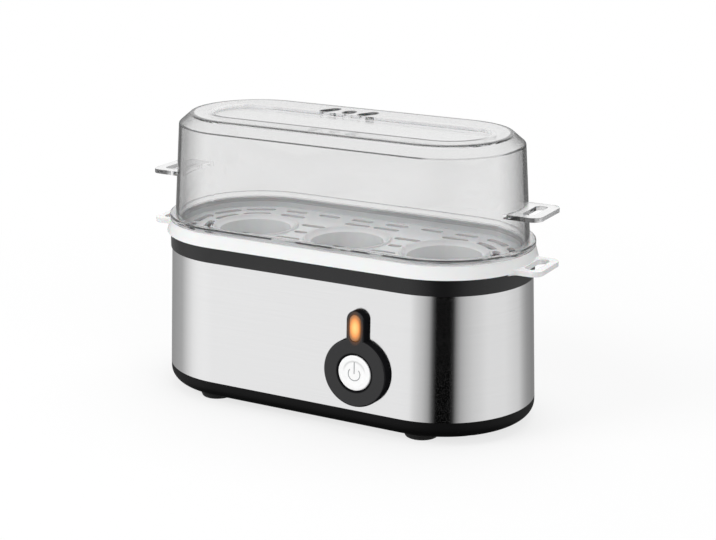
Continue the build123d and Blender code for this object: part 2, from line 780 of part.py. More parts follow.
earth_turn = 31.0
wire(
    "earth_wire",
    [
        (earth_x, way_end, way_level),
        (earth_x, wire_lane, way_level),
        (earth_x, wire_lane, way_level + 24.0),
        (stud_places[0][0], earth_turn, barrel_level - 12.0),
        (stud_places[0][0], earth_turn, barrel_level),
        (stud_places[0][0], barrel_start + barrel_length + wire_gap, barrel_level),
    ],
    [5, 8, 5, 5],
)

# ---------------------------------------------------------------- egg carrier
# One white moulding: a flared ring with a lit inner chamfer, a sunk tray with three cups and steam
# slots, a skirt that finds the collar's mouth, and two ears with finger slots.
tray_top = 83.2
tray_bottom = 81.6
ring_inner_radius = 41.7
ring_chamfer = 1.0
skirt_bottom = 80.4
skirt_radius = 41.7
skirt_wall = 1.6
ear_slot_length = 20.0
ear_slot_width = 6.2
ear_corner = 5.0
ear_root_blend = 3.0
ear_root_depth = 1.2
ear_root_inset = 0.5
carrier_slot_x = 103.4
carrier_ear_reach = 110.2
carrier_ear_half = 13.8
carrier_ear_top = 84.0
carrier_ear_bottom = 81.5
ear_clearance = 0.3
steam_slot = 4.0
side_row = 34.5
cup_row = 26.0
bar_row = 13.0
bar_length = 14.0
short_bar_length = 7.4
outer_arcs = (side_row, 20, (-62, -31, 0, 31, 62))
inner_arcs = (cup_row, 24, (-58, -20, 20, 58))
cup_centres = [((index - (cup_count - 1) / 2) * cup_pitch, 0) for index in range(cup_count)]


def ear_outline(height, wall_radius, reach, half_width, slot_x):
    """Both finger ears as flat tabs that grow out of a wall's outline with a blend at their roots."""
    with BuildSketch(Plane.XY.offset(height)) as ears:
        SlotCenterToCenter(2 * half_span, 2 * wall_radius)
        Rectangle(2 * reach, 2 * half_width)
        columns = ears.vertices().group_by(Axis.X)
        fillet(columns[1] + columns[-2], radius=ear_root_blend)
        columns = ears.vertices().group_by(Axis.X)
        fillet(columns[0] + columns[-1], radius=ear_corner)
        SlotCenterToCenter(2 * half_span, 2 * (wall_radius - ear_root_depth), mode=Mode.SUBTRACT)
        Rectangle(2 * reach, 2 * (half_width + ear_root_blend), mode=Mode.INTERSECT)
        with Locations((-slot_x, 0), (slot_x, 0)):
            SlotOverall(ear_slot_length, ear_slot_width, rotation=90, mode=Mode.SUBTRACT)
    return ears.sketch


def steam_slots(height):
    """Slots in the tray: rows along the sides, bars between the cups and arcs round the ends."""
    with BuildSketch(Plane.XY.offset(height)) as slots:
        with GridLocations(20.0, 2 * side_row, 6, 2):
            SlotOverall(12.5, steam_slot)
        for column in (-47.5, -8.5, 8.5, 47.5):
            with Locations((column, -cup_row), (column, cup_row)):
                SlotOverall(14.5, steam_slot)
        for side in (-1, 1):
            bar_x = side * cup_pitch / 2
            with Locations((bar_x, -bar_row), (bar_x, bar_row)):
                SlotOverall(bar_length, steam_slot)
            with Locations((bar_x, 0)):
                SlotOverall(short_bar_length, steam_slot)
            for radius, spread, turns in (outer_arcs, inner_arcs):
                for turn in turns:
                    heading = turn if side > 0 else 180 - turn
                    start = heading - spread / 2
                    arc = CenterArc((side * half_span, 0), radius, start, spread, mode=Mode.PRIVATE)
                    SlotArc(arc, steam_slot)
    return slots.sketch


with BuildPart() as egg_carrier:
    racetrack_wall((collar_top, ring_foot_radius), (ring_top, ring_top_radius))
    ear_height = carrier_ear_top - carrier_ear_bottom
    ear_sketch = ear_outline(
        carrier_ear_bottom,
        ring_foot_radius - ear_root_inset,
        carrier_ear_reach,
        carrier_ear_half,
        carrier_slot_x,
    )
    extrude(ear_sketch, amount=ear_height)
    over_collar = collar_radius + ear_clearance
    racetrack_wall((carrier_ear_bottom, over_collar), (collar_top, over_collar), mode=Mode.SUBTRACT)
    racetrack_wall((skirt_bottom, skirt_radius), (collar_top, skirt_radius))
    racetrack_wall((tray_top, ring_inner_radius), (ring_top, ring_inner_radius), mode=Mode.SUBTRACT)
    inner_rim = egg_carrier.faces().filter_by(Axis.Z).sort_by(Axis.Z)[-1].inner_wires()[0].edges()
    chamfer(inner_rim, length=ring_chamfer)
    outer_rim = egg_carrier.faces().filter_by(Axis.Z).sort_by(Axis.Z)[-1].outer_wire().edges()
    fillet(outer_rim, radius=0.6)
    undercut_radius = skirt_radius - skirt_wall
    racetrack_wall((skirt_bottom, undercut_radius), (tray_bottom, undercut_radius), mode=Mode.SUBTRACT)
    disks(cup_centres, cup_lip_radius, tray_bottom, tray_top - tray_bottom, mode=Mode.SUBTRACT)
    extrude(steam_slots(tray_bottom), amount=tray_top - tray_bottom, mode=Mode.SUBTRACT)
    with BuildSketch(Plane.XZ) as cup_section:
        with BuildLine():
            Polyline(
                (cup_foot_radius, cup_foot_height),
                (cup_seat_radius, cup_seat_height),
                (cup_lip_radius - 0.5, cup_lip_top - 0.2),
                (cup_lip_radius, cup_lip_top),
                (cup_lip_radius + 0.5, cup_lip_top - 0.2),
                (cup_lip_radius + 0.9, tray_top),
                (cup_lip_radius + 0.9, tray_bottom),
                (cup_lip_radius - 0.6, tray_bottom),
                (cup_seat_radius + cup_wall, cup_seat_height - 1.4),
                (cup_foot_radius + cup_wall, cup_foot_height),
                close=True,
            )
        make_face()
    for centre in cup_centres:
        section = cup_section.sketch.moved(Location((centre[0], 0, 0)))
        revolve(section, axis=Axis((centre[0], 0, 0), (0, 0, 1)))
save(egg_carrier, "egg_carrier")

# ---------------------------------------------------------------- lid
# Clear cover: flange on the ring, leaning wall, chamfered shoulder, a sunk panel whose rear edge is cut
# straight to leave room for the vents, and two ears.
lid_slot_x = 101.6
lid_ear_reach = 109.6
lid_ear_half = 14.4
lid_ear_top = 110.2
lid_ear_gauge = 2.2
panel_radius = 20.5
panel_half_span = 56.0
panel_rear = 14.4
panel_sink = 1.5
panel_corner = 7.0
lid_lip_bottom = 86.6
lid_lip_radius = 41.2
lid_lip_wall = 1.4
vent_length = 10.6
vent_width = 5.2
vent_turn = 62
round_vent_radius = 3.0


def sunk_panel(height, grow=0.0):
    """Outline of the sunk top panel, grown all round by grow."""
    radius = panel_radius + grow
    rear = panel_rear + grow
    with BuildSketch(Plane.XY.offset(height)) as panel:
        SlotCenterToCenter(2 * panel_half_span, 2 * radius)
        with Locations((0, rear + radius)):
            Rectangle(4 * panel_half_span, 2 * radius, mode=Mode.SUBTRACT)
        rear_corners = panel.vertices().group_by(Axis.Y)[-1]
        fillet(rear_corners, radius=panel_corner)
    return panel.sketch


with BuildPart() as lid:
    racetrack_wall((ring_top, flange_radius), (flange_top, flange_radius))
    flange_rim = lid.edges().group_by(Axis.Z)[-1]
    fillet(flange_rim, radius=0.8)
    racetrack_wall((flange_top, lid_foot_radius), (lid_shoulder, lid_shoulder_radius))
    racetrack_wall((lid_shoulder, lid_shoulder_radius), (lid_top, lid_top_radius))
    shoulder_line = lid.edges().filter_by_position(Axis.Z, lid_shoulder - 0.01, lid_shoulder + 0.01)
    fillet(shoulder_line, radius=1.2)
    top_line = lid.edges().group_by(Axis.Z)[-1]
    fillet(top_line, radius=0.8)
    racetrack_wall((lid_lip_bottom, lid_lip_radius), (ring_top, lid_lip_radius))
    ear_rise = (lid_ear_top - flange_top) / (lid_shoulder - flange_top)
    wall_at_ear = lid_foot_radius - ear_rise * (lid_foot_radius - lid_shoulder_radius)
    ear_sketch = ear_outline(
        lid_ear_top - lid_ear_gauge,
        wall_at_ear - ear_root_inset,
        lid_ear_reach,
        lid_ear_half,
        lid_slot_x,
    )
    extrude(ear_sketch, amount=lid_ear_gauge)
    foot_inside = lid_foot_radius - lid_wall
    shoulder_inside = lid_shoulder_radius - lid_wall
    ceiling_radius = lid_top_radius - 0.9
    ceiling = lid_top - lid_wall
    lip_inside = lid_lip_radius - lid_lip_wall
    racetrack_wall((lid_lip_bottom, lip_inside), (flange_top, lip_inside), mode=Mode.SUBTRACT)
    racetrack_wall(
        (flange_top, lip_inside), (lid_shoulder - 0.6, shoulder_inside), mode=Mode.SUBTRACT
    )
    racetrack_wall(
        (lid_shoulder - 0.6, shoulder_inside), (ceiling, ceiling_radius), mode=Mode.SUBTRACT
    )
    extrude(sunk_panel(ceiling - panel_sink, lid_wall), amount=panel_sink)
    extrude(sunk_panel(lid_top), amount=-panel_sink, mode=Mode.SUBTRACT)
    with BuildSketch(Plane.XY.offset(lid_top)) as vents:
        with Locations((-21.7, 20.5), (0.2, 20.4)):
            SlotOverall(vent_length, vent_width, rotation=vent_turn)
        with Locations((-10.3, 20.0)):
            Circle(round_vent_radius)
    extrude(vents.sketch, amount=-lid_wall - panel_sink - 0.5, mode=Mode.SUBTRACT)
save(lid, "lid")
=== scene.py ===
# %% [markdown]
# # A steam egg cooker, finished in Blender
#
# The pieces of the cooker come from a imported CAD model, at their real size and in metres. This lesson
# gives each of them its finish, adds what CAD leaves plain, and sets up a small photo studio around it.
# The model is loaded first and is never moved, so everything made here is placed straight in its frame:
# X runs along the cooker, the control panel faces -Y, and Z is up with the floor at 0.

# %% Load the cooker
import json
import math

import bpy
import bmesh
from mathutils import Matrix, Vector


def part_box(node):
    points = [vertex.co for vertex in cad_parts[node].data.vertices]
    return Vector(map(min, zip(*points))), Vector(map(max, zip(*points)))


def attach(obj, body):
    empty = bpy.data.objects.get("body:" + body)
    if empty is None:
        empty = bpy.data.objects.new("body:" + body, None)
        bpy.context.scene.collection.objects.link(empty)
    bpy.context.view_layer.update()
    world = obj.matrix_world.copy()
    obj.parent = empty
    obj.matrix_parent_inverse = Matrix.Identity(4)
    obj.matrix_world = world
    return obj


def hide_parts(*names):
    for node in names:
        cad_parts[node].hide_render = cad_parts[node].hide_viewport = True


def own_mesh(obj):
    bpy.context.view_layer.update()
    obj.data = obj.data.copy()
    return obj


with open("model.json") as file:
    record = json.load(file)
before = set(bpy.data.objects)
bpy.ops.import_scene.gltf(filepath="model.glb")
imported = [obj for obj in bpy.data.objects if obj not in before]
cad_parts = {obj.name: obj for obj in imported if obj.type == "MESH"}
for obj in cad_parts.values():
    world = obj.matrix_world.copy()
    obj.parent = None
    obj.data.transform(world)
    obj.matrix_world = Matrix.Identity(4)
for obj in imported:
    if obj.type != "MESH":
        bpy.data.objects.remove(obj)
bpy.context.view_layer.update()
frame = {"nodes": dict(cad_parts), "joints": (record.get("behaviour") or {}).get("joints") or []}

nodes = frame["nodes"]
MM = 0.001

# %% [markdown]
# ## The camera
#
# A camera is easiest to describe as a photographer would: how far round the subject, how high above it,
# how far away, and what it looks at. A long lens from almost a metre away keeps the cooker's sides nearly
# parallel. Blender wants a place and a turn instead, so a short formula makes one from the other:
# to_track_quat turns the camera's own -Z axis towards the target and keeps its Y axis up.

# %% Camera
view_azimuth = math.radians(29.1)
view_elevation = math.radians(16.08)
view_distance = 0.874
view_target = Vector((0.00584, 0.0, 0.0676))
picture_width_px = 716
focal_length_px = 1733.5

camera_data = bpy.data.cameras.new("camera")
camera_data.sensor_width = 36.0
camera_data.lens = camera_data.sensor_width * focal_length_px / picture_width_px
camera = bpy.data.objects.new("camera", camera_data)
away = Vector((
    math.sin(view_azimuth) * math.cos(view_elevation),
    -math.cos(view_azimuth) * math.cos(view_elevation),
    math.sin(view_elevation),
))
camera.location = view_target + away * view_distance
camera.rotation_euler = (-away).to_track_quat("-Z", "Y").to_euler()
bpy.context.scene.collection.objects.link(camera)
bpy.context.scene.camera = camera
bpy.context.scene.view_settings.view_transform = "Standard"
print("lens", round(camera_data.lens, 1), "mm, camera at", [round(v, 3) for v in camera.location])

# %% [markdown]
# Light that gets into the clear lid runs inside its walls and is thrown back many times before it comes out.
# Each throw is a bounce, and a path that runs out of bounces ends black. So the lid needs far more of them
# than opaque things do, both for light that passes a surface and for light that is mirrored by it.

# %% Bounces
lid_bounces = 32
cycles = bpy.context.scene.cycles
cycles.max_bounces = lid_bounces
cycles.transmission_bounces = lid_bounces
cycles.glossy_bounces = lid_bounces
print("light may bounce", lid_bounces, "times")

# %% [markdown]
# ## A few helpers for materials
#
# Every finish starts from the Principled shader. One helper makes a material and sets the plain values
# straight on the shader's sockets. The next ones add a node, link two nodes and feed the shader.


# %% Material helpers
def finish(name, colour, roughness, **sockets):
    """A Principled material. Extra keywords name sockets with underscores for spaces."""
    material = bpy.data.materials.new(name)
    material.use_nodes = True
    shader = material.node_tree.nodes["Principled BSDF"]
    shader.inputs["Base Color"].default_value = (*colour, 1.0)
    shader.inputs["Roughness"].default_value = roughness
    for socket, value in sockets.items():
        shader.inputs[socket.replace("_", " ").title().replace("Ior", "IOR")].default_value = value
    return material


def add(material, kind, **settings):
    """A new node in a material, with its properties or input values set by name."""
    node = material.node_tree.nodes.new(kind)
    for key, value in settings.items():
        if key in node.inputs:
            node.inputs[key].default_value = value
        else:
            setattr(node, key, value)
    return node


def join(material, output, target):
    """Links an output to an input."""
    material.node_tree.links.new(output, target)


def shader_of(material):
    """The material's Principled shader."""
    return material.node_tree.nodes["Principled BSDF"]


def feed(material, socket, output):
    """Links an output to the Principled shader's socket of this name."""
    join(material, output, shader_of(material).inputs[socket])


# %% [markdown]
# Most finishes need a noise, read in the object's own coordinates, which for these pieces are metres in the
# cooker's frame, and a bump made from it. The size of a pattern is given in millimetres, because that is how
# one thinks about a surface.


# %% Patterns
def place(material, scale=(1, 1, 1), location=(0, 0, 0)):
    """Object coordinates through a Mapping node: the point's place in metres, scaled and shifted."""
    coordinates = add(material, "ShaderNodeTexCoord")
    mapping = add(material, "ShaderNodeMapping")
    mapping.inputs["Location"].default_value = location
    mapping.inputs["Scale"].default_value = scale
    join(material, coordinates.outputs["Object"], mapping.inputs["Vector"])
    return mapping.outputs["Vector"]


def noise(material, size_mm, detail=2.0, stretch=(1, 1, 1)):
    """A noise whose blobs are about size_mm across. Stretch makes them longer along an axis."""
    vector = place(material, scale=[1.0 / s for s in stretch])
    texture = add(material, "ShaderNodeTexNoise", Detail=detail, Scale=1.0 / (size_mm * MM))
    join(material, vector, texture.inputs["Vector"])
    return texture.outputs["Fac"]


def bump(material, height, depth_mm):
    """Feeds the shader's normal with a bump of this depth."""
    node = add(material, "ShaderNodeBump", Strength=1.0, Distance=depth_mm * MM)
    join(material, height, node.inputs["Height"])
    feed(material, "Normal", node.outputs["Normal"])


# %% [markdown]
# A noise is remapped to a useful range before it drives anything. Masks are numbers from 0 to 1 that say
# where something is drawn. They rise or fall between two values, and the product of several says where all
# of them hold.


# %% Ranges and masks
def remap(material, value, low, high, start=0.3, end=0.7):
    """Maps a value between start and end to the range low to high."""
    node = add(material, "ShaderNodeMapRange")
    node.inputs["From Min"].default_value = start
    node.inputs["From Max"].default_value = end
    node.inputs["To Min"].default_value = low
    node.inputs["To Max"].default_value = high
    join(material, value, node.inputs["Value"])
    return node.outputs["Result"]


def rise(material, value, start, end):
    """0 where the value is below start, 1 where it is above end."""
    return remap(material, value, 0.0, 1.0, start, end)


def fall(material, value, start, end):
    """1 where the value is below start, 0 where it is above end."""
    return remap(material, value, 1.0, 0.0, start, end)


def math_step(material, operation, *values):
    """One Math node. Its inputs are numbers or the outputs of other nodes."""
    node = add(material, "ShaderNodeMath", operation=operation)
    for socket, value in zip(node.inputs, values):
        if isinstance(value, (int, float)):
            socket.default_value = value
        else:
            join(material, value, socket)
    return node.outputs["Value"]


def all_of(material, *masks):
    """The product of several masks: 1 only where every one of them is 1."""
    total = masks[0]
    for mask in masks[1:]:
        total = math_step(material, "MULTIPLY", total, mask)
    return total


# %% [markdown]
# Colours are mixed by a mask or read from a ramp. A finished material goes into the first slot of each of
# its pieces.


# %% Colours
def blend_colours(material, factor, first, second):
    """A colour between two, by a factor. Each colour is three numbers or the output of another node."""
    node = add(material, "ShaderNodeMix", data_type="RGBA")
    for socket, colour in ((node.inputs[6], first), (node.inputs[7], second)):
        if isinstance(colour, tuple):
            socket.default_value = (*colour, 1.0)
        else:
            join(material, colour, socket)
    join(material, factor, node.inputs[0])
    return node.outputs[2]


def grey(level):
    """A colour with three equal parts."""
    return (level, level, level)


def ramp(material, value, *stops):
    """A Color Ramp through (position, colour) stops."""
    node = add(material, "ShaderNodeValToRGB")
    elements = node.color_ramp.elements
    while len(elements) > 1:
        elements.remove(elements[-1])
    for index, (position, colour) in enumerate(stops):
        element = elements[0] if index == 0 else elements.new(position)
        element.position = position
        element.color = (*colour, 1.0)
    join(material, value, node.inputs["Fac"])
    return node.outputs["Color"]


def grey_ramp(material, value, *stops):
    """A Color Ramp through (position, level) stops."""
    return ramp(material, value, *[(position, grey(level)) for position, level in stops])


def coat_with(material, *names):
    """Puts a material in the first slot of each named CAD piece."""
    for name in names:
        nodes[name].material_slots[0].material = material
    print(material.name, "on", ", ".join(names))


# %% [markdown]
# ## Where a point lies on a racetrack
#
# Every outline of this cooker is a racetrack: two straight sides and two half circles. So a point's
# distance from the line between the two end centres says how far out it is, all the way round. Together
# with the height it gives a flat profile of the cooker, in which an edge or a groove that runs right round
# is a single point. Masks for such edges are then the distance to that point.

# %% Racetrack coordinates
half_span = 53.6 * MM
print("the end centres lie", round(half_span / MM, 1), "mm from the middle")


def where(material):
    """The x, y and z of the shaded point."""
    coordinates = add(material, "ShaderNodeTexCoord")
    parts = add(material, "ShaderNodeSeparateXYZ")
    join(material, coordinates.outputs["Object"], parts.inputs[0])
    return parts.outputs


def racetrack_radius(material, x, y, span):
    """Distance from the line between the two end centres, which lie at -span and span on X."""
    past_centre = math_step(material, "SUBTRACT", math_step(material, "ABSOLUTE", x), span)
    past_centre = math_step(material, "MAXIMUM", past_centre, 0.0)
    flat = add(material, "ShaderNodeCombineXYZ")
    join(material, past_centre, flat.inputs["X"])
    join(material, y, flat.inputs["Y"])
    length = add(material, "ShaderNodeVectorMath", operation="LENGTH")
    join(material, flat.outputs["Vector"], length.inputs[0])
    return length.outputs["Value"]


def profile_of(material, radius, height):
    """Radius and height as one vector."""
    profile = add(material, "ShaderNodeCombineXYZ")
    join(material, radius, profile.inputs["X"])
    join(material, height, profile.inputs["Y"])
    return profile.outputs["Vector"]


def edge_mask(material, profile, radius_mm, height_mm, width_mm, solid_share=0.6):
    """1 on the edge that runs round at this radius and height, fading to 0 within width_mm."""
    gap = add(material, "ShaderNodeVectorMath", operation="DISTANCE")
    join(material, profile, gap.inputs[0])
    gap.inputs[1].default_value = (radius_mm * MM, height_mm * MM, 0.0)
    return fall(material, gap.outputs["Value"], solid_share * width_mm * MM, width_mm * MM)


def upright_share(material, start=0.35, end=0.65):
    """1 on upright faces and 0 on level ones."""
    geometry = add(material, "ShaderNodeNewGeometry")
    parts = add(material, "ShaderNodeSeparateXYZ")
    join(material, geometry.outputs["Normal"], parts.inputs[0])
    levelness = math_step(material, "ABSOLUTE", parts.outputs["Z"])
    return fall(material, levelness, start, end)


# %% [markdown]
# ## Brushed stainless steel
#
# The wrap was brushed along its length with a belt. Each scratch is far finer than a pixel, so the scratches
# show as two things: reflections that are smeared up and down into tall soft bands, and a faint streaky
# grain. The smear is what anisotropy is for. A Tangent node gives the direction round the body, and a
# quarter turn of the anisotropic rotation sets the smear across the scratches. The grain is made of two
# noises stretched along the body, a fine one and a slower one, which move the roughness and the tone a
# little.


# %% Brushed steel
def brushed(name, tone, roughness, fine_mm, slow_mm, stretch):
    """Stainless steel with its grain along one direction. Tone and roughness are (low, high) pairs."""
    quarter_turn = 0.25
    material = finish(
        name, grey(tone[1]), roughness[0], metallic=1.0, anisotropic=0.9, anisotropic_rotation=quarter_turn
    )
    around = add(material, "ShaderNodeTangent", direction_type="RADIAL", axis="Z")
    feed(material, "Tangent", around.outputs["Tangent"])
    fine = noise(material, fine_mm, detail=2.0, stretch=stretch)
    slow = noise(material, slow_mm, detail=3.0, stretch=stretch)
    grain = math_step(material, "MULTIPLY", math_step(material, "ADD", fine, slow), 0.5)
    feed(material, "Roughness", remap(material, grain, *roughness, start=0.35, end=0.65))
    low, high = [(value, value, value * 1.004) for value in tone]
    feed(material, "Base Color", blend_colours(material, rise(material, grain, 0.35, 0.65), low, high))
    bump(material, fine, depth_mm=0.0012)
    return material


brushed_steel = brushed(
    "brushed_steel_wrap", tone=(0.845, 0.875), roughness=(0.105, 0.135), fine_mm=0.14, slow_mm=0.45,
    stretch=(160, 160, 1),
)
coat_with(brushed_steel, "steel_sleeve")

# %% [markdown]
# ## The water pan
#
# The pan is pressed from the same steel, but it is left satin from the mill. Hard water dries on it, so the
# floor has soft cloudy marks, and the rim of each cloud is a little rougher than the clean metal.

# %% Pan steel
pan_steel = finish("pan_steel", (0.62, 0.62, 0.625), 0.28, metallic=1.0)
pan_clouds = noise(pan_steel, 14.0, detail=5.0)
feed(pan_steel, "Roughness", remap(pan_steel, pan_clouds, 0.24, 0.46, start=0.4, end=0.65))
cloud_share = rise(pan_steel, pan_clouds, 0.45, 0.7)
pan_tone = blend_colours(pan_steel, cloud_share, (0.64, 0.64, 0.645), (0.56, 0.555, 0.54))
feed(pan_steel, "Base Color", pan_tone)
bump(pan_steel, noise(pan_steel, 0.5, detail=2.0, stretch=(6, 1, 1)), depth_mm=0.002)
coat_with(pan_steel, "water_pan")

# %% [markdown]
# ## Moulded plastics
#
# The black mouldings come out of a tool whose walls were etched to a fine satin, so their gloss is broken
# up by a bump a fraction of a millimetre across, and handling leaves slow cloudy changes in the roughness.
# The same recipe in other tones and grains serves for the rubber and the silicone.


# %% Mouldings
def moulded(name, colour, roughness, grain_mm, grain_depth_mm, **sockets):
    """A moulded surface with a cloudy gloss and a fine grain."""
    material = finish(name, colour, roughness, **sockets)
    clouds = noise(material, 22.0, detail=3.0)
    feed(material, "Roughness", remap(material, clouds, roughness - 0.05, roughness + 0.06))
    bump(material, noise(material, grain_mm, detail=1.0), grain_depth_mm)
    return material


collar_black = moulded("collar_black", (0.006, 0.006, 0.0065), 0.28, 0.3, 0.003)
coat_with(collar_black, "top_collar")
base_black = moulded("base_black", (0.002, 0.002, 0.0022), 0.5, 0.3, 0.004, specular_ior_level=0.16)
coat_with(base_black, "base_shell", "switch_body", "lamp_holder", "thermostat")
black_rubber = moulded("black_rubber", (0.012, 0.012, 0.012), 0.65, 0.5, 0.01)
coat_with(black_rubber, "rubber_feet", "cord_bush")
red_silicone = moulded("red_silicone", (0.45, 0.09, 0.06), 0.5, 0.4, 0.004)
coat_with(red_silicone, "pan_seal")
white_ceramic = moulded("white_ceramic", (0.78, 0.76, 0.70), 0.55, 0.35, 0.008)
coat_with(white_ceramic, "heater_bushes", "terminal_block")

# %% [markdown]
# ## White plastic
#
# The egg carrier is glossy white. A little subsurface scattering softens its edges, as in any unfilled
# white plastic. The tray lies deep inside its ring and gets less light, and its tone is taken down a little
# to help that. A mask finds the tray: inside the ring, and above the cups' sleeves.

# %% White mouldings
carrier_tone = (0.80, 0.805, 0.805)
tray_tone = (0.64, 0.645, 0.65)
glossy_white = moulded(
    "glossy_white", carrier_tone, 0.2, 1.2, 0.002, subsurface_weight=0.2, subsurface_scale=0.002
)
carrier_x, carrier_y, carrier_z = where(glossy_white)
carrier_radius = racetrack_radius(glossy_white, carrier_x, carrier_y, half_span)
inside_ring = fall(glossy_white, carrier_radius, 42.0 * MM, 43.0 * MM)
above_sleeves = rise(glossy_white, carrier_z, 81.5 * MM, 83.5 * MM)
tray_share = all_of(glossy_white, inside_ring, above_sleeves)
feed(glossy_white, "Base Color", blend_colours(glossy_white, tray_share, carrier_tone, tray_tone))
coat_with(glossy_white, "egg_carrier", "switch_plunger")

# %% [markdown]
# ## The button's cap
#
# The control panel leans with the steel behind it, so the button moves along a leaning axis. The joint holds
# that axis, and the cap's middle is where the axis meets the cap's front.

# %% The panel's own directions
press = next(joint for joint in frame["joints"] if joint["name"] == "button_press")
panel_out = -Vector(press["axis"])
panel_up = panel_out.cross(Vector((1, 0, 0)))
plunger_low, plunger_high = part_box("switch_plunger")
plunger_middle = (plunger_low + plunger_high) / 2


def on_press_axis(reach):
    """The point of the button's axis that lies this far out, as a dot product with the axis tells it."""
    return plunger_middle + panel_out * (reach - plunger_middle.dot(panel_out))


cap_centre = on_press_axis(max(vertex.co.dot(panel_out) for vertex in nodes["power_button"].data.vertices))
print("the cap's middle is at", [round(v / MM, 2) for v in cap_centre], "mm")

# %% [markdown]
# The cap is a brighter white than the carrier, and it is dished. The dish's edge is a ring round the cap's
# middle, which shows as a soft step in the gloss. Over its upper half, where it faces down, a faint grey
# line of painted shade is drawn on it. A distance from the cap's middle gives the ring, and the height above
# that middle gives its upper half.


# %% Button cap
def distance_from(material, centre):
    """Distance from the shaded point to a place."""
    node = add(material, "ShaderNodeVectorMath", operation="DISTANCE")
    join(material, place(material), node.inputs[0])
    node.inputs[1].default_value = centre
    return node.outputs["Value"]


cap_tone = grey(0.97)
dish_shade_tone = grey(0.74)
dish_radius = 5.8 * MM
cap_white = finish("cap_white", cap_tone, 0.22, coat_weight=0.4, coat_roughness=0.1)
from_cap_middle = distance_from(cap_white, cap_centre)
dish_edge = rise(cap_white, from_cap_middle, dish_radius - 0.5 * MM, dish_radius + 0.5 * MM)
bump(cap_white, dish_edge, depth_mm=0.12)
off_ring = math_step(cap_white, "ABSOLUTE", math_step(cap_white, "SUBTRACT", from_cap_middle, dish_radius))
on_ring = fall(cap_white, off_ring, 0.1 * MM, 0.7 * MM)
above_middle = rise(cap_white, where(cap_white)["Z"], cap_centre.z, cap_centre.z + 3 * MM)
# Painted shade: a faint grey line on the dish's edge, over its upper half.
painted_dish_shade = all_of(cap_white, on_ring, above_middle)
feed(cap_white, "Base Color", blend_colours(cap_white, painted_dish_shade, cap_tone, dish_shade_tone))
coat_with(cap_white, "power_button")

# %% [markdown]
# ## The control panel
#
# The panel's face is a satin black with a soft sheen. Its sides, and the hole round the button, are in their
# own shade and reflect next to nothing. The side faces are those whose normal is square to the panel's
# direction. Round the lamp window a brown glow is painted into the black, as painted light from the lamp,
# and it fades within a millimetre or two.

# %% Control panel
panel_tone = (0.008, 0.008, 0.009)
face_gloss = 0.5
panel_black = moulded("panel_black", panel_tone, 0.22, 0.25, 0.002)
panel_normal = add(panel_black, "ShaderNodeNewGeometry")
facing_out = add(panel_black, "ShaderNodeVectorMath", operation="DOT_PRODUCT")
join(panel_black, panel_normal.outputs["Normal"], facing_out.inputs[0])
facing_out.inputs[1].default_value = panel_out
on_face = rise(panel_black, facing_out.outputs["Value"], 0.55, 0.85)
off_gap = rise(panel_black, distance_from(panel_black, cap_centre), 9.6 * MM, 10.2 * MM)
sheen = math_step(panel_black, "MULTIPLY", all_of(panel_black, on_face, off_gap), face_gloss)
feed(panel_black, "Specular IOR Level", sheen)
print("the panel leans back by", round(math.degrees(math.asin(panel_out.z)), 2), "degrees")

# %% Painted glow round the lamp window
lens_low, lens_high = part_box("indicator_lens")
lens_middle = (lens_low + lens_high) / 2


def glow_distance(material, centre, half_width, half_height):
    """0 on the lamp's axis and 1 on an oval round it, seen from the front."""
    scale = (1 / half_width, 0.0, 1 / half_height)
    shift = [-middle * factor for middle, factor in zip(centre, scale)]
    shape = add(material, "ShaderNodeVectorMath", operation="LENGTH")
    join(material, place(material, scale=scale, location=shift), shape.inputs[0])
    return shape.outputs["Value"]


# Painted light: the lamp's brown glow, laid into the panel's base colour round the window.
painted_brown_glow = (0.16, 0.06, 0.02)
painted_spill = fall(panel_black, glow_distance(panel_black, lens_middle, 4.6 * MM, 8.8 * MM), 0.6, 1.0)
feed(panel_black, "Base Color", blend_colours(panel_black, painted_spill, panel_tone, painted_brown_glow))
coat_with(panel_black, "control_bezel")

# %% [markdown]
# ## The clear lid
#
# A clear moulding shows mostly at its edges. Light that meets a wall at a low angle is bent far aside, so
# upright walls go grey and then black towards their outline, and every corner that runs round the lid
# draws a dark line. The body of the plastic is faintly smoky, which the base colour gives at each pass.
# Glass alone draws those lines too faintly, so they are strengthened by tones in the base colour, laid one
# over the other. They count only on the first surface that a ray meets. Transmission Depth tells which one
# that is: it is still 0 there.

# %% Clear lid
smoke_level = 0.885
smoke = grey(smoke_level)
lid_clear = finish("lid_clear", smoke, 0.015, transmission_weight=1.0, ior=1.46)
lid_x, lid_y, lid_z = where(lid_clear)
lid_radius = racetrack_radius(lid_clear, lid_x, lid_y, half_span)
lid_profile = profile_of(lid_clear, lid_radius, lid_z)
lid_walls = upright_share(lid_clear)


def lid_step(operation, *values):
    """One Math node in the lid's material."""
    return math_step(lid_clear, operation, *values)


light_path = add(lid_clear, "ShaderNodeLightPath")
first_surface = lid_step("LESS_THAN", light_path.outputs["Transmission Depth"], 0.5)
from_lid_middle = lid_step("ABSOLUTE", lid_x)
print("the clear plastic has a tint of", smoke_level)
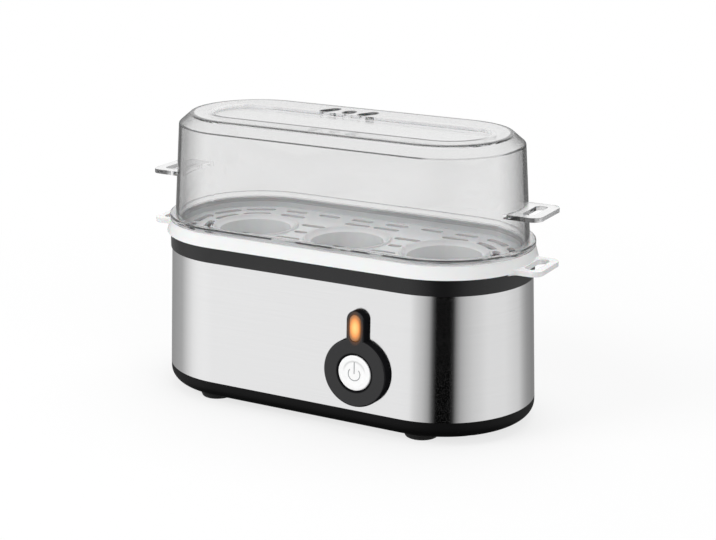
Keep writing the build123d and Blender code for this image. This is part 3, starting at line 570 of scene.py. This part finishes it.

# %% [markdown]
# Layer Weight's Facing is 0 where a face looks straight at the viewer and 1 on its outline. It drives a ramp
# of painted shade for the upright walls, with a thinner outline on the left half, and a milder one for the
# chamfer between the walls and the top. The chamfer is found by its place and its slope: it lies above the
# shoulder and far out, and it isn't level.

# %% Lid's outline
grazing = add(lid_clear, "ShaderNodeLayerWeight", Blend=0.5)
right_outline = grey_ramp(
    lid_clear, grazing.outputs["Facing"], (0.0, smoke_level), (0.25, 0.87), (0.42, 0.50), (0.56, 0.22),
    (0.65, 0.14), (0.70, 0.01), (0.95, 0.01), (1.0, 0.1),
)
left_outline = grey_ramp(
    lid_clear, grazing.outputs["Facing"], (0.0, smoke_level), (0.25, 0.87), (0.42, 0.50), (0.56, 0.24),
    (0.67, 0.20), (0.745, 0.005), (1.0, 0.005),
)
left_half = lid_step("LESS_THAN", lid_x, 0.0)
wall_tone = blend_colours(lid_clear, left_half, right_outline, left_outline)
shoulder_height = 138.5 * MM
below_shoulder = lid_step("LESS_THAN", lid_z, shoulder_height)
lid_tone = blend_colours(lid_clear, all_of(lid_clear, lid_walls, below_shoulder), smoke, wall_tone)
print("the walls' outline is dark up to", round(shoulder_height / MM, 1), "mm")

# %% Lid's chamfer
chamfer_inner_radius = 31.5 * MM
chamfer_tone = grey_ramp(
    lid_clear, grazing.outputs["Facing"], (0.0, smoke_level), (0.35, 0.86), (0.52, 0.62), (0.66, 0.20),
    (0.76, 0.02), (1.0, 0.01),
)
on_chamfer = all_of(
    lid_clear,
    upright_share(lid_clear, start=0.85, end=0.95),
    lid_step("GREATER_THAN", lid_radius, chamfer_inner_radius),
    lid_step("SUBTRACT", 1.0, below_shoulder),
)
lid_tone = blend_colours(lid_clear, on_chamfer, lid_tone, chamfer_tone)
print("the chamfer starts", round(chamfer_inner_radius / MM, 1), "mm out")

# %% [markdown]
# Four painted lines of shade run right round the lid: the top's edge, the shoulder under the chamfer, the
# foot, and a pale one just below it. The shoulder's line is weaker over a stretch of the right end, and full
# again past it.
# The foot stands on the carrier, where it touches in places only, so its line is broken up by a noise.


# %% Lines round the lid
def draw_line(tone, mask, level):
    """The lid's colour with a line of this level drawn over it."""
    blue_tint = 1.02
    return blend_colours(lid_clear, mask, tone, (level, level, level * blue_tint))


def lid_edge(radius, height, width):
    """The edge that runs round the lid at this radius and height, in millimetres."""
    return edge_mask(lid_clear, lid_profile, radius, height, width)


lid_top = 143.35
lid_tone = draw_line(lid_tone, lid_edge(32.5, lid_top, 1.7), 0.05)
lid_tone = draw_line(lid_tone, lid_edge(45.0, 90.2, 1.2), 0.5)

weak_share = 0.45
before_right_end = remap(lid_clear, lid_x, 1.0, weak_share, start=60 * MM, end=64 * MM)
past_right_end = rise(lid_clear, lid_x, 88 * MM, 91 * MM)
shoulder_strength = lid_step("MAXIMUM", before_right_end, past_right_end)
lid_tone = draw_line(lid_tone, all_of(lid_clear, lid_edge(38.8, 138.2, 0.5), shoulder_strength), 0.05)

foot_breaks = remap(lid_clear, noise(lid_clear, 12.0, detail=1.0), 0.15, 1.0, start=0.38, end=0.44)
lid_tone = draw_line(lid_tone, all_of(lid_clear, lid_edge(44.8, 91.5, 0.95), foot_breaks), 0.02)
print("the top's edge runs round the lid at a height of", lid_top, "mm")

# %% [markdown]
# The ears are flat tabs whose cut sides are painted dark grey, with streaks, as painted shade. They are
# found as the upright faces that lie beyond the end walls. The long front side of each is painted darker
# still.

# %% Lid's ears
end_wall = 97 * MM
streaks = remap(lid_clear, noise(lid_clear, 2.5, stretch=(3, 3, 1)), 0.55, 1.0, start=0.4, end=0.6)
ear_side_shade = all_of(lid_clear, lid_step("GREATER_THAN", from_lid_middle, end_wall), lid_walls, streaks)
lid_tone = draw_line(lid_tone, ear_side_shade, 0.16)
ear_front_shade = all_of(
    lid_clear,
    rise(lid_clear, from_lid_middle, 98 * MM, 100 * MM),
    fall(lid_clear, from_lid_middle, 107 * MM, 109 * MM),
    lid_step("LESS_THAN", lid_y, -9 * MM),
    lid_walls,
)
lid_tone = draw_line(lid_tone, ear_front_shade, 0.02)
print("the ears start", round(end_wall / MM, 1), "mm from the lid's middle")

# %% [markdown]
# Three vents stand in a row behind the sunk panel. Each is a straight line with a radius round it, a round
# one being a line of no length, so the distance to that line, in plan, says whether a point is in the vent.
# The wall of each hole and a rim round it are painted almost black, as painted shade. The rim is wider
# towards the front and the back, where a low view makes it narrow. Squeezing Y before the distance is taken
# gives that shape.

# %% Lid's vents
# One end, other end and radius of each vent, in millimetres.
vent_lines = [
    ((-22.97, 18.12), (-20.43, 22.88), 2.6),
    ((-10.3, 20.0), (-10.3, 20.0), 3.0),
    ((-1.07, 18.02), (1.47, 22.78), 2.6),
]
vent_row = 20.4
vent_rim = 0.5 * MM
vent_squeeze = 0.7
hole_shade_level = 0.035


def distance_to_line(material, x, y, start, end):
    """Distance in plan from the shaded point to a straight line between two places in millimetres."""
    def step(operation, *values):
        return math_step(material, operation, *values)

    run = Vector(end) - Vector(start)
    along_x, along_y = run.normalized() if run.length else (1.0, 0.0)
    from_start_x = step("SUBTRACT", x, start[0] * MM)
    from_start_y = step("SUBTRACT", y, start[1] * MM)
    along = step("ADD", step("MULTIPLY", from_start_x, along_x), step("MULTIPLY", from_start_y, along_y))
    held = step("MINIMUM", step("MAXIMUM", along, 0.0), run.length * MM)
    past = step("SUBTRACT", along, held)
    y_part, x_part = step("MULTIPLY", from_start_y, along_x), step("MULTIPLY", from_start_x, along_y)
    aside = step("SUBTRACT", y_part, x_part)
    return step("SQRT", step("ADD", step("MULTIPLY", past, past), step("MULTIPLY", aside, aside)))


from_row = lid_step("SUBTRACT", lid_y, vent_row * MM)
squeezed_y = lid_step("MULTIPLY_ADD", from_row, vent_squeeze, vent_row * MM)
in_the_top = lid_step("GREATER_THAN", lid_z, 138.8 * MM)
behind_step = lid_step("GREATER_THAN", lid_y, 14.9 * MM)
for start, end, radius in vent_lines:
    ends = [(x, vent_row + (y - vent_row) * vent_squeeze) for x, y in (start, end)]
    gap = distance_to_line(lid_clear, lid_x, squeezed_y, *ends)
    near_vent = lid_step("LESS_THAN", gap, radius * MM + vent_rim)
    vent_shade_mask = all_of(lid_clear, near_vent, in_the_top, behind_step)
    lid_tone = draw_line(lid_tone, vent_shade_mask, 0.0)
    lid_tone = draw_line(lid_tone, all_of(lid_clear, vent_shade_mask, lid_walls), hole_shade_level)
print(len(vent_lines), "vents have dark walls and rims")

# %% [markdown]
# The sunk panel's edge is a short upright step. At the front a thin dark line of painted shade is drawn on
# it, and along the back it is painted a pale grey shade. Its outline is a smaller racetrack, cut straight at
# the back.

# %% Edge of the lid's sunk panel
sunk_span = 56.0 * MM
rear_step_y = 14.4 * MM
sunk_profile = profile_of(lid_clear, racetrack_radius(lid_clear, lid_x, lid_y, sunk_span), lid_z)
front_edge_shade = all_of(
    lid_clear,
    edge_mask(lid_clear, sunk_profile, 21.6, lid_top, 2.0),
    fall(lid_clear, lid_y, -10 * MM, 2 * MM),
    rise(lid_clear, lid_x, -72 * MM, -66 * MM),
)
lid_tone = draw_line(lid_tone, front_edge_shade, 0.05)
rear_step = all_of(
    lid_clear,
    lid_step("LESS_THAN", lid_step("ABSOLUTE", lid_step("SUBTRACT", lid_y, rear_step_y)), 0.8 * MM),
    lid_step("GREATER_THAN", lid_z, 141.6 * MM),
    lid_step("LESS_THAN", from_lid_middle, 70 * MM),
    lid_walls,
)
lid_tone = draw_line(lid_tone, rear_step, 0.72)
print("the sunk panel's rear step is at y", round(rear_step_y / MM, 1), "mm")

# %% Lid's colour
feed(lid_clear, "Base Color", blend_colours(lid_clear, first_surface, smoke, lid_tone))
print("the lid's colour is made with", len(lid_clear.node_tree.nodes), "nodes")

# %% [markdown]
# Shadow rays take a plain tinted Transparent shader instead of the glass, so the lid lets light in
# without the noise of true caustics.

# %% Lid's output
open_air = add(lid_clear, "ShaderNodeBsdfTransparent")
open_air.inputs["Color"].default_value = (0.775, 0.78, 0.785, 1.0)
either = add(lid_clear, "ShaderNodeMixShader")
lid_output = lid_clear.node_tree.nodes["Material Output"]
join(lid_clear, light_path.outputs["Is Shadow Ray"], either.inputs[0])
join(lid_clear, shader_of(lid_clear).outputs["BSDF"], either.inputs[1])
join(lid_clear, open_air.outputs["BSDF"], either.inputs[2])
join(lid_clear, either.outputs["Shader"], lid_output.inputs["Surface"])
coat_with(lid_clear, "lid")

# %% [markdown]
# ## Metal and glass inside
#
# Small metal parts get the same treatment as the mouldings: a tone, a roughness that varies in clouds, and
# a light grain from plating, rolling or drawing.


# %% Inner metals
def metal(name, colour, roughness, grain_mm=0.4, stretch=(1, 1, 1), depth_mm=0.003):
    """Bare or plated metal with clouds in its tone and gloss."""
    material = finish(name, colour, roughness, metallic=1.0)
    clouds = noise(material, 5.0, detail=4.0)
    feed(material, "Roughness", remap(material, clouds, roughness - 0.06, roughness + 0.1))
    dull_share = 0.82
    dull = tuple(dull_share * value for value in colour)
    feed(material, "Base Color", blend_colours(material, rise(material, clouds, 0.3, 0.7), colour, dull))
    bump(material, noise(material, grain_mm, stretch=stretch), depth_mm)
    return material


zinc_plate = metal("zinc_plate", (0.62, 0.63, 0.66), 0.32)
coat_with(
    zinc_plate, "base_screws", "clamp_bars", "pan_nuts", "thermostat_plate", "thermostat_screws",
    "fuse_clip", "switch_bracket", "bracket_screws",
)
soft_aluminium = metal("soft_aluminium", (0.74, 0.74, 0.75), 0.38, stretch=(8, 1, 1))
coat_with(soft_aluminium, "heat_spreader", "heating_tube", "thermal_fuse")
yellow_brass = metal("yellow_brass", (0.74, 0.54, 0.24), 0.3)
coat_with(yellow_brass, "earth_tag", "terminal_screws")
spring_steel = metal("spring_steel", (0.55, 0.56, 0.58), 0.25)
coat_with(spring_steel, "button_spring")

# %% [markdown]
# ## The return spring
#
# The return spring sits round the button's stem. Its rear end rests on the switch's bracket and stays there,
# and its front end travels with the cap, so it has to get shorter as the button goes in. The coil's shape
# comes from the model, merged into one skin, and it rides the housing.

# %% Spring coil
coil_mesh = bmesh.new()
coil_mesh.from_mesh(nodes["button_spring"].data)
weld_distance = 0.001 * MM
bmesh.ops.remove_doubles(coil_mesh, verts=coil_mesh.verts, dist=weld_distance)
coil_data = bpy.data.meshes.new("spring_coil")
coil_mesh.to_mesh(coil_data)
coil_mesh.free()
spring_coil = bpy.data.objects.new("spring_coil", coil_data)
bpy.context.scene.collection.objects.link(spring_coil)
spring_coil.data.materials.append(spring_steel)
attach(spring_coil, "housing")
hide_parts("button_spring")
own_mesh(spring_coil)

# %% [markdown]
# The neon lamp is a bulb of clear glass. The wires have silicone sleeves in brown, blue and, for earth,
# green with a yellow stripe.

# %% Inner glass and wires
lamp_glass = finish("lamp_glass", (0.95, 0.72, 0.5), 0.05, transmission_weight=1.0, ior=1.5)
feed(lamp_glass, "Roughness", remap(lamp_glass, noise(lamp_glass, 2.0), 0.02, 0.12))
coat_with(lamp_glass, "neon_lamp")
brown_sleeve = moulded("brown_sleeve", (0.10, 0.035, 0.015), 0.45, 0.6, 0.006)
coat_with(brown_sleeve, "live_wire", "switched_wire", "fuse_wire", "heater_wire")
blue_sleeve = moulded("blue_sleeve", (0.02, 0.10, 0.38), 0.45, 0.6, 0.006)
coat_with(blue_sleeve, "neutral_wire")

# %% [markdown]
# A wave texture across X alternates the earth wire's two colours.

# %% Earth wire
wire_green = (0.03, 0.26, 0.04)
wire_yellow = (0.72, 0.55, 0.03)
earth_sleeve = moulded("earth_sleeve", (0.05, 0.30, 0.05), 0.45, 0.6, 0.006)
stripe = add(earth_sleeve, "ShaderNodeTexWave", bands_direction="X", Scale=120.0)
join(earth_sleeve, place(earth_sleeve), stripe.inputs["Vector"])
stripe_share = rise(earth_sleeve, stripe.outputs["Fac"], 0.45, 0.55)
feed(earth_sleeve, "Base Color", blend_colours(earth_sleeve, stripe_share, wire_green, wire_yellow))
coat_with(earth_sleeve, "earth_wire")

# %% [markdown]
# ## The lamp window
#
# A neon lamp stands upright behind the amber window. Its light is painted onto the window as a glow in a
# tall oval: pale orange over the lamp, deeper orange round it, and brown where the window meets its frame.
# The window itself emits this painted glow, and the lamp behind it gives no light. The distance from the
# lamp's middle, squeezed along its length, drives both the colour and the emission through one ramp.

# %% Amber window
lamp_middle = lens_middle + Vector((0.2 * MM, 0.0, 0.4 * MM))
glow_strength = 0.42
amber_window = finish("amber_window", (0.5, 0.2, 0.05), 0.12, coat_weight=0.6, coat_roughness=0.05)
glow = ramp(
    amber_window, glow_distance(amber_window, lamp_middle, 4.2 * MM, 8.0 * MM),
    (0.0, (1.0, 0.52, 0.18)), (0.30, (0.92, 0.42, 0.12)), (0.55, (0.66, 0.23, 0.05)),
    (0.74, (0.30, 0.12, 0.035)), (0.95, (0.10, 0.045, 0.02)),
)
feed(amber_window, "Base Color", glow)
feed(amber_window, "Emission Color", glow)
shader_of(amber_window).inputs["Emission Strength"].default_value = glow_strength
coat_with(amber_window, "indicator_lens")

# %% [markdown]
# ## The power sign
#
# The cap carries the common sign for a power button: an upright bar and an open ring. It is printed in pale
# grey, and a print has a thickness, if only a few hundredths of a millimetre. So each stroke is a flat
# ribbon, laid on the cap's face and made solid. The ring's stroke is a short edge, spun round the middle of
# the ring.

# %% Power sign's ring
print_lift = 0.02 * MM
print_depth = 0.05 * MM
stroke = 0.42 * MM
ring_radius = 3.2 * MM
ring_drop = 0.5 * MM
ring_opening = math.radians(96)
ring_steps = 48


def on_cap(across, up, lift=print_lift):
    """A point of the cap's face, from its middle."""
    return cap_centre + Vector((across, 0, 0)) + panel_up * up + panel_out * lift


sign = bmesh.new()
start_turn = math.pi / 2 + ring_opening / 2
sweep = 2 * math.pi - ring_opening
ring_middle = on_cap(0, -ring_drop)
first_edge = []
for reach in (ring_radius - stroke / 2, ring_radius + stroke / 2):
    across, up = reach * math.cos(start_turn), reach * math.sin(start_turn)
    first_edge.append(sign.verts.new(on_cap(across, up - ring_drop)))
seed = sign.edges.new(first_edge)
bmesh.ops.spin(
    sign, geom=[*first_edge, seed], cent=ring_middle, axis=panel_out, angle=sweep, steps=ring_steps,
    use_merge=False,
)
print("the ring is", round(2 * ring_radius / MM, 1), "mm wide, with", len(sign.faces), "faces")

# %% [markdown]
# The bar is a grid of one face, whose corners are moved onto the cap. Then both strokes are made solid.

# %% Power sign
bar_foot = -0.3 * MM
bar_top = 5.6 * MM
bar = bmesh.ops.create_grid(sign, x_segments=1, y_segments=1, size=0.5)["verts"]
for vertex in bar:
    across = vertex.co.x * stroke
    up = bar_foot + (vertex.co.y + 0.5) * (bar_top - bar_foot)
    vertex.co = on_cap(across, up)
bmesh.ops.recalc_face_normals(sign, faces=sign.faces)
bmesh.ops.solidify(sign, geom=sign.faces, thickness=print_depth)
bmesh.ops.recalc_face_normals(sign, faces=sign.faces)
sign_data = bpy.data.meshes.new("power_sign")
sign.to_mesh(sign_data)
sign.free()
power_sign = bpy.data.objects.new("power_sign", sign_data)
bpy.context.scene.collection.objects.link(power_sign)
sign_grey = moulded("sign_grey", (0.27, 0.28, 0.29), 0.4, 0.2, 0.002)
power_sign.data.materials.append(sign_grey)
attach(power_sign, "power_button")
print("power sign:", len(power_sign.data.polygons), "faces")

# %% [markdown]
# ## The studio floor
#
# The floor is a plain pale sheet. To the camera it glows enough to read as white paper, and a small share
# of real light keeps a soft shadow under the feet. Further out the glow takes over, so the paper's far edge
# melts into the background. Rays that come through the clear lid see the same, and all other rays meet a
# plain grey sheet.

# %% Studio: floor
floor_half_size = 3.0
floor_mesh = bmesh.new()
bmesh.ops.create_grid(floor_mesh, x_segments=1, y_segments=1, size=floor_half_size)
floor_data = bpy.data.meshes.new("floor")
floor_mesh.to_mesh(floor_data)
floor_mesh.free()
floor = bpy.data.objects.new("floor", floor_data)
bpy.context.scene.collection.objects.link(floor)
print("the floor is", 2 * floor_half_size, "m wide")

# %% Studio: paper
floor_grey = grey(0.5)
black = grey(0.0)
near_radius, far_radius = 0.15, 0.40
near_glow = 0.75
pale_floor = finish("pale_floor", floor_grey, 0.9, specular_ior_level=0.0)
floor_path = add(pale_floor, "ShaderNodeLightPath")
seen = math_step(
    pale_floor, "MAXIMUM", floor_path.outputs["Is Camera Ray"], floor_path.outputs["Is Transmission Ray"]
)
from_middle = add(pale_floor, "ShaderNodeVectorMath", operation="LENGTH")
join(pale_floor, place(pale_floor), from_middle.inputs[0])
far_share = rise(pale_floor, from_middle.outputs["Value"], near_radius, far_radius)
paper_glow = remap(pale_floor, far_share, near_glow, 1.0, start=0.0, end=1.0)
feed(pale_floor, "Emission Strength", math_step(pale_floor, "MULTIPLY", seen, paper_glow))
lit_paper = blend_colours(pale_floor, far_share, grey(0.18), black)
feed(pale_floor, "Base Color", blend_colours(pale_floor, seen, floor_grey, lit_paper))
shader_of(pale_floor).inputs["Emission Color"].default_value = (1.0, 1.0, 1.0, 1.0)
floor.data.materials.append(pale_floor)
floor.visible_glossy = False
print("the paper glows fully from", far_radius, "m outwards")

# %% [markdown]
# ## The studio walls
#
# Polished metal shows nothing but its surroundings, so the steel needs a studio to reflect. The world plays
# that part: for glossy rays its brightness follows the heading, white over the wide front and a black flag
# to one side, which draws the dark upright band on the cooker's rounded end. The ceiling is white, and far
# below the horizon it is dark, as under a table's edge. Other rays see a plain even light.

# %% Studio: surroundings
# Heading in degrees from +X towards +Y, and how bright the studio is in that direction.
studio_walls = [
    (-180, 0.42), (-175, 0.50), (-165, 0.68), (-155, 0.84), (-145, 0.92), (-134, 0.94), (-118, 0.90),
    (-112, 0.90), (-104, 0.88), (-97, 0.72), (-87, 0.55), (-80, 0.36), (-75, 0.08), (-71, 0.0), (-54, 0.0),
    (-50, 0.03), (-46, 0.24), (-41, 0.42), (-35, 0.54), (-25, 0.66), (-5, 0.80), (20, 0.80), (46, 0.66),
    (57, 0.45), (67, 0.33), (87, 0.24), (120, 0.30), (150, 0.32), (170, 0.38), (180, 0.42),
]
print("the walls' brightness is given in", len(studio_walls), "directions")

# %% [markdown]
# The world's nodes turn the ray's direction into a heading, read the ramp with it, and then choose by the
# kind of ray. Mirrored rays meet the studio's walls, or an even pale grey once they have been through the
# lid's plastic. What the camera sees directly, or through the plastic, is white.

# %% Studio: world
ambient = grey(0.55)
under_table = grey(0.05)
through_lid = grey(0.85)
white = grey(1.0)

world = bpy.data.worlds.new("studio")
bpy.context.scene.world = world
world.use_nodes = True
background = world.node_tree.nodes["Background"]
background.inputs["Color"].default_value = (1.0, 1.0, 1.0, 1.0)

direction = add(world, "ShaderNodeTexCoord")
parts = add(world, "ShaderNodeSeparateXYZ")
join(world, direction.outputs["Generated"], parts.inputs["Vector"])
heading = math_step(world, "ARCTAN2", parts.outputs["Y"], parts.outputs["X"])
turn = rise(world, heading, -math.pi, math.pi)
walls = grey_ramp(world, turn, *[((azimuth + 180) / 360, level) for azimuth, level in studio_walls])
ceiling_share = rise(world, parts.outputs["Z"], 0.0, 0.25)
walls_and_ceiling = blend_colours(world, ceiling_share, walls, white)
below_share = fall(world, parts.outputs["Z"], -0.75, -0.45)
outside = blend_colours(world, below_share, walls_and_ceiling, under_table)
rays = add(world, "ShaderNodeLightPath")
inside_lid = math_step(world, "GREATER_THAN", rays.outputs["Transmission Depth"], 0.5)
reflected = blend_colours(world, inside_lid, outside, through_lid)
sky = blend_colours(world, rays.outputs["Is Glossy Ray"], ambient, reflected)
for seen_directly in ("Is Transmission Ray", "Is Camera Ray"):
    sky = blend_colours(world, rays.outputs[seen_directly], sky, white)
join(world, sky, background.inputs["Color"])
print("the world has", len(world.node_tree.nodes), "nodes")

# %% [markdown]
# ## The lamps
#
# Three soft lamps give the shadows their direction: a key from the left front, a weak fill from the right
# front, and one from above and behind. They are left out of reflections and out of what the lid lets
# through, where their square shapes would show.


# %% Studio: lamps
def lamp(name, place_at, aim_at, size, watts):
    """A square area lamp that isn't seen in reflections or through the lid."""
    data = bpy.data.lights.new(name, "AREA")
    data.size = size
    data.energy = watts
    holder = bpy.data.objects.new(name, data)
    holder.location = place_at
    holder.rotation_euler = (Vector(aim_at) - Vector(place_at)).to_track_quat("-Z", "Y").to_euler()
    holder.visible_glossy = False
    holder.visible_transmission = False
    bpy.context.scene.collection.objects.link(holder)
    print(name, "has", watts, "watts")


cooker_middle = (0, 0, 0.07)
lamp("key_lamp", (-0.9, -1.1, 1.1), cooker_middle, 0.9, 16)
lamp("fill_lamp", (1.2, -0.8, 0.9), cooker_middle, 0.9, 6)
lamp("top_lamp", (0, 0.3, 1.6), cooker_middle, 1.2, 14)
